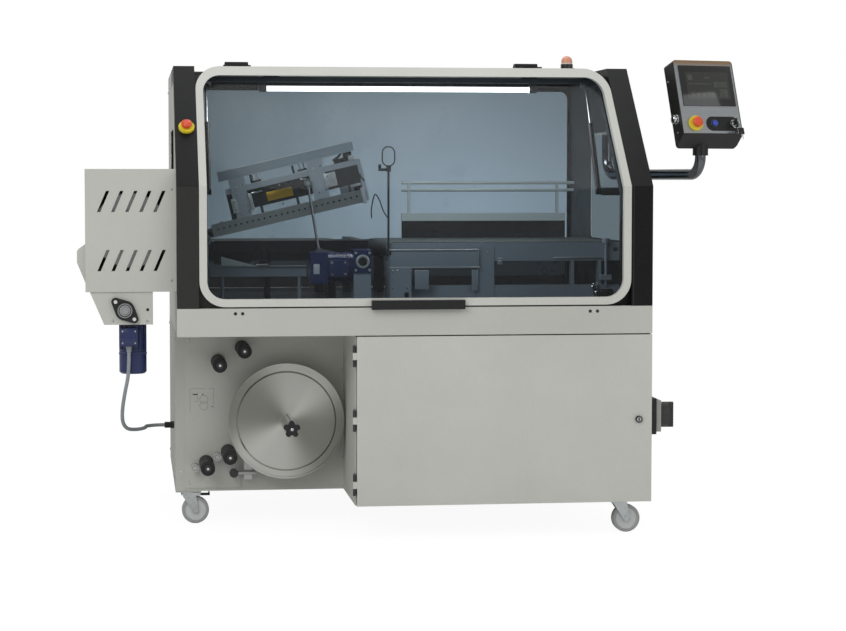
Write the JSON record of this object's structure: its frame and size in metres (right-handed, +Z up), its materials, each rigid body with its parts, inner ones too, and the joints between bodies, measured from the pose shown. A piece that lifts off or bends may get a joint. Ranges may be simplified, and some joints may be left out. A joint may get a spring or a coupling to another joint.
{
  "type": "shrink wrapping machine",
  "caption": "Cabinet-type film sealing machine with a hinged guard hood, tilting seal head, conveyors, film reel bay, scrap winder and swivelling control panel.",
  "frame": {"origin": "on the floor under the middle of the machine's bounding box", "axes": "+X to the right along the front, +Y from the front to the back, +Z up"},
  "size_m": [2.3083, 1.424, 1.687],
  "materials": {
    "panel_paint": "fine texture",
    "frame_paint": "painted",
    "black_paint": "satin",
    "inner_paint": "satin",
    "window_sheet": "clear",
    "black_plastic": "matte",
    "black_rubber": "matte",
    "belt_rubber": "matte",
    "steel": "brushed",
    "zinc": "bright",
    "alu": "brushed",
    "motor_paint": "gloss",
    "conduit": "satin",
    "beacon_lens": "gloss",
    "wheel_grey": "satin",
    "arm_chrome": "polished",
    "panel_metal": "satin",
    "stop_red": "gloss",
    "blue_plastic": "gloss",
    "lamp_white": "satin"
  },
  "bodies": {
    "machine": {"base_pan": "panel_paint", "left_side": "panel_paint", "right_side": "panel_paint", "rear_panel": "panel_paint", "rear_window": "window_sheet", "roof_panel": "panel_paint", "hinge_blocks": "black_plastic", "beacon": "beacon_lens", "bay_panel": "panel_paint", "bay_hardware": "steel", "deck": "panel_paint", "cheeks": "black_paint", "inner_frame": "inner_paint", "conveyor_belts": "belt_rubber", "product_guides": "alu", "lower_jaw": "black_paint", "gear_motor": "motor_paint", "winder_housing": "panel_paint", "flange_bearing": "steel", "winder_motor": "motor_paint", "motor_cable": "conduit", "cable_gland": "black_plastic", "switch_base": "black_plastic", "caster_mounts": "zinc"},
    "hood": {"hood_frame": "frame_paint", "hood_window": "window_sheet", "hood_handle": "black_plastic", "hood_lamp": "lamp_white"},
    "spring_tubes": {"spring_cylinders": "black_paint"},
    "spring_ends": {"spring_rods": "steel"},
    "door": {"cabinet_door": "panel_paint"},
    "lock": {"door_lock": "zinc"},
    "reel_disc": {"film_disc": "alu"},
    "disc_knob": {"star_knob": "black_plastic"},
    "roller_1": {"film_roller_1": "black_rubber"},
    "roller_2": {"film_roller_2": "black_rubber"},
    "roller_3": {"film_roller_3": "black_rubber"},
    "roller_4": {"film_roller_4": "black_rubber"},
    "head": {"seal_head": "black_paint", "seal_bar": "alu"},
    "head_rod": {"push_rod": "steel"},
    "head_crank": {"crank": "steel"},
    "infeed_drive": {"infeed_roller": "steel"},
    "outfeed_drive": {"outfeed_roller": "steel"},
    "fork_1": {"caster_fork_1": "zinc"},
    "fork_2": {"caster_fork_2": "zinc"},
    "wheel_1": {"caster_wheel_1": "wheel_grey"},
    "wheel_2": {"caster_wheel_2": "wheel_grey"},
    "wheel_3": {"caster_wheel_3": "wheel_grey"},
    "wheel_4": {"caster_wheel_4": "wheel_grey"},
    "pedal": {"brake_pedal": "black_plastic"},
    "arm": {"control_arm": "arm_chrome"},
    "panel": {"panel_case": "panel_metal"},
    "cheek_stop": {"cheek_stop_button": "stop_red"},
    "panel_stop": {"panel_stop_button": "stop_red"},
    "start_button": {"blue_button": "blue_plastic"},
    "key": {"key_switch": "zinc"},
    "main_switch": {"switch_knob": "black_plastic"},
    "scrap_drive": {"winder_shaft": "steel"},
    "scrap_reel": {"winder_reel": "alu"}
  },
  "joints": [
    {"name": "hood_hinge", "type": "hinge", "parent": "machine", "child": "hood", "pos_m": [-0.01478, 0.09, 1.628], "axis": [-1, 0, 0], "range_deg": [0, 62]},
    {"name": "spring_tilt", "type": "hinge", "parent": "machine", "child": "spring_tubes", "pos_m": [-0.01478, -0.358, 1.18], "axis": [1, 0, 0], "range_deg": [0, 5.08]},
    {"name": "spring_stroke", "type": "slide", "parent": "spring_tubes", "child": "spring_ends", "axis": [0, 0.508, 0.8614], "range_m": [0, 0.2285]},
    {"name": "door_hinge", "type": "hinge", "parent": "machine", "child": "door", "pos_m": [-0.23028, -0.682, 0], "axis": [0, 0, -1], "range_deg": [0, 110]},
    {"name": "door_lock_turn", "type": "hinge", "parent": "door", "child": "lock", "pos_m": [0.74672, -0.688, 0.404], "axis": [0, -1, 0], "range_deg": [0, 90]},
    {"name": "disc_spin", "type": "hinge", "parent": "machine", "child": "reel_disc", "pos_m": [-0.43528, -0.688, 0.376], "axis": [0, 1, 0], "continuous": true},
    {"name": "star_knob_turn", "type": "hinge", "parent": "reel_disc", "child": "disc_knob", "pos_m": [-0.43528, -0.688, 0.376], "axis": [0, 1, 0], "continuous": true},
    {"name": "film_roller_spin_1", "type": "hinge", "parent": "machine", "child": "roller_1", "pos_m": [-0.67128, -0.688, 0.582], "axis": [0, 1, 0], "continuous": true},
    {"name": "film_roller_spin_2", "type": "hinge", "parent": "machine", "child": "roller_2", "pos_m": [-0.58628, -0.688, 0.63], "axis": [0, 1, 0], "continuous": true},
    {"name": "film_roller_spin_3", "type": "hinge", "parent": "machine", "child": "roller_3", "pos_m": [-0.71428, -0.688, 0.225], "axis": [0, 1, 0], "continuous": true},
    {"name": "film_roller_spin_4", "type": "hinge", "parent": "machine", "child": "roller_4", "pos_m": [-0.63728, -0.688, 0.262], "axis": [0, 1, 0], "continuous": true},
    {"name": "seal_head_swing", "type": "hinge", "parent": "machine", "child": "head", "pos_m": [-0.71428, -0.688, 1.01], "axis": [0, 1, 0], "range_deg": [0, 13]},
    {"name": "push_rod_swing", "type": "hinge", "parent": "head", "child": "head_rod", "pos_m": [-0.35237, -0.688, 1.20992], "axis": [0, 1, 0], "range_deg": [-7.22, 0]},
    {"name": "crank_turn", "type": "hinge", "parent": "machine", "child": "head_crank", "pos_m": [-0.17578, -0.688, 0.938], "axis": [0, 1, 0], "range_deg": [-37.56, 0]},
    {"name": "infeed_roller_spin", "type": "hinge", "parent": "machine", "child": "infeed_drive", "pos_m": [0.75372, -0.688, 0.9727], "axis": [0, 1, 0], "continuous": true},
    {"name": "outfeed_roller_spin", "type": "hinge", "parent": "machine", "child": "outfeed_drive", "pos_m": [-0.78328, -0.688, 0.9727], "axis": [0, 1, 0], "continuous": true},
    {"name": "caster_swivel_1", "type": "hinge", "parent": "machine", "child": "fork_1", "pos_m": [-0.77628, -0.208, 0.1], "axis": [0, 0, 1], "continuous": true},
    {"name": "caster_swivel_2", "type": "hinge", "parent": "machine", "child": "fork_2", "pos_m": [0.70272, -0.578, 0.1], "axis": [0, 0, 1], "continuous": true},
    {"name": "caster_wheel_spin_1", "type": "hinge", "parent": "fork_1", "child": "wheel_1", "pos_m": [-0.75128, -0.208, 0.048], "axis": [0, 1, 0], "continuous": true},
    {"name": "caster_wheel_spin_2", "type": "hinge", "parent": "fork_2", "child": "wheel_2", "pos_m": [0.72772, -0.578, 0.048], "axis": [0, 1, 0], "continuous": true},
    {"name": "caster_wheel_spin_3", "type": "hinge", "parent": "machine", "child": "wheel_3", "pos_m": [-0.75128, 0.602, 0.048], "axis": [0, 1, 0], "continuous": true},
    {"name": "caster_wheel_spin_4", "type": "hinge", "parent": "machine", "child": "wheel_4", "pos_m": [0.72772, 0.602, 0.048], "axis": [0, 1, 0], "continuous": true},
    {"name": "brake_pedal_press", "type": "hinge", "parent": "fork_1", "child": "pedal", "pos_m": [-0.73828, -0.208, 0.105], "axis": [0, 1, 0], "range_deg": [0, 8]},
    {"name": "arm_swivel", "type": "hinge", "parent": "machine", "child": "arm", "pos_m": [0.82272, 0.172, 1.45], "axis": [0, 0, 1], "range_deg": [0, 90]},
    {"name": "panel_swivel", "type": "hinge", "parent": "arm", "child": "panel", "pos_m": [1.00972, -0.488, 1.34], "axis": [0, 0, 1], "range_deg": [-45, 45]},
    {"name": "cheek_stop_press", "type": "slide", "parent": "machine", "child": "cheek_stop", "axis": [0, 0.7139, -0.7002], "range_m": [0, 0.005]},
    {"name": "panel_stop_press", "type": "slide", "parent": "panel", "child": "panel_stop", "axis": [-0.2462, 0.9186, -0.309], "range_m": [0, 0.005]},
    {"name": "start_button_press", "type": "slide", "parent": "panel", "child": "start_button", "axis": [-0.2462, 0.9186, -0.309], "range_m": [0, 0.003], "stiffness_N_per_m": 600},
    {"name": "key_turn", "type": "hinge", "parent": "panel", "child": "key", "pos_m": [1.11734, -0.511, 1.41605], "axis": [-0.2462, 0.9186, -0.309], "range_deg": [0, 90]},
    {"name": "main_switch_turn", "type": "hinge", "parent": "machine", "child": "main_switch", "pos_m": [0.83672, -0.588, 0.408], "axis": [1, 0, 0], "range_deg": [0, 90]},
    {"name": "scrap_reel_spin", "type": "hinge", "parent": "machine", "child": "scrap_reel", "pos_m": [-0.97428, -0.688, 1.052], "axis": [0, 1, 0], "continuous": true},
    {"name": "winder_shaft_spin", "type": "hinge", "parent": "machine", "child": "scrap_drive", "pos_m": [-0.99428, -0.688, 0.785], "axis": [0, 1, 0], "continuous": true}
  ],
  "couplings": [
    {"joint": "spring_tilt", "follows": "hood_hinge", "ratio": 0.07875},
    {"joint": "spring_stroke", "follows": "hood_hinge", "m_per_rad": 0.21025},
    {"joint": "push_rod_swing", "follows": "seal_head_swing", "ratio": -0.548},
    {"joint": "crank_turn", "follows": "seal_head_swing", "ratio": -2.8818},
    {"joint": "winder_shaft_spin", "follows": "scrap_reel_spin", "ratio": 1}
  ]
}
